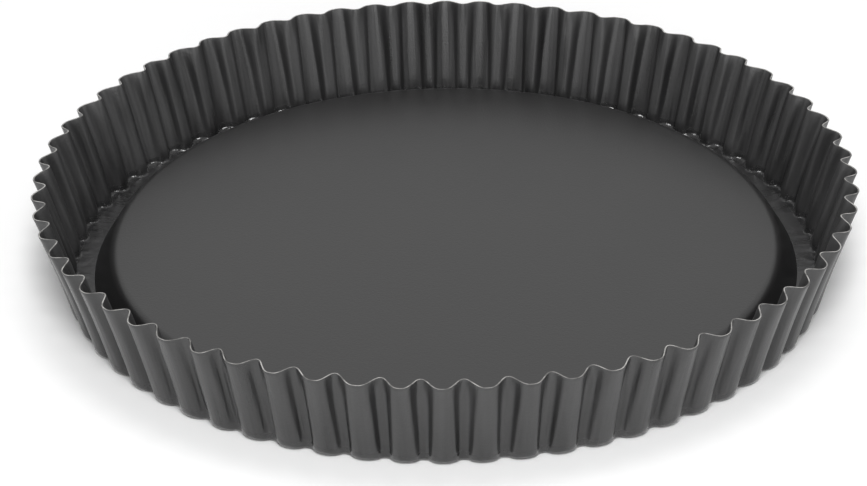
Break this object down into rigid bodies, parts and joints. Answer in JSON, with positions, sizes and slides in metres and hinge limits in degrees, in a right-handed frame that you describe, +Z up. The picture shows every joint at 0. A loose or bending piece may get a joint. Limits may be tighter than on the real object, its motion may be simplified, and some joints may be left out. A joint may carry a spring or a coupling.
{
  "type": "tart pan",
  "caption": "Round fluted tart pan with a dark non-stick coating: a fluted ring with an inward ledge, and a raised base with a sloping side that lifts out of it.",
  "frame": {"origin": "middle of the underside, on the surface that the pan stands on", "axes": "+Z up out of the pan; +X and +Y through crests of flutes, otherwise free"},
  "size_m": [0.28, 0.28, 0.0349],
  "materials": {
    "ring_coating": "satin dark grey non-stick coating on pressed steel, bare steel at the cut rim",
    "base_coating": "satin dark grey non-stick coating on pressed steel"
  },
  "bodies": {
    "ring": {"fluted_ring": "ring_coating"},
    "base": {"lift_out_base": "base_coating"}
  },
  "joints": [
    {"name": "base_lift", "type": "slide", "parent": "ring", "child": "base", "axis": [0, 0, 1], "range_m": [0, 0.05]}
  ]
}
